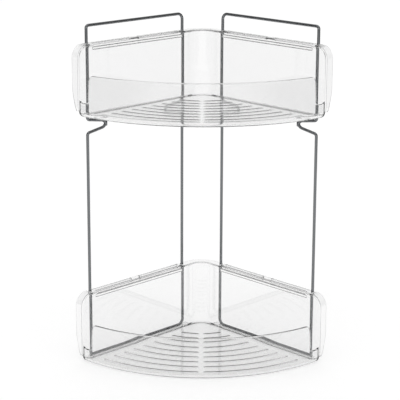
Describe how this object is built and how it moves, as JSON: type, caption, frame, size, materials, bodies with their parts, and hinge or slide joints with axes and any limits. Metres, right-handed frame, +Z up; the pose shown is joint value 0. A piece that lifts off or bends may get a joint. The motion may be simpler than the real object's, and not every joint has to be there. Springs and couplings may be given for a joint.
{
  "type": "corner cupboard organiser",
  "caption": "Free-standing two-tier quarter-wedge organiser for a corner cupboard: clear moulded trays with low curved fronts, held one above the other by bent wire side frames.",
  "frame": {"origin": "bottom centre of the bounding box: on the shelf that the organiser stands on, half-way across and half-way from front to back", "axes": "+Z up; the curved front faces -Y and the rounded rear corner points to +Y; X runs from left to right and the plane X = 0 is the plane of symmetry"},
  "size_m": [0.2856, 0.1918, 0.3862],
  "materials": {
    "clear_plastic": "clear moulded polystyrene, polished",
    "chrome_wire": "chrome-plated steel wire"
  },
  "bodies": {
    "base": {"lower_tray": "clear_plastic", "left_frame": "chrome_wire", "right_frame": "chrome_wire"},
    "upper_tray": {"upper_tray": "clear_plastic"}
  },
  "joints": [
    {"name": "upper_tray_lift", "type": "slide", "parent": "base", "child": "upper_tray", "axis": [0, 0, 1], "range_m": [0, 0.012]}
  ]
}
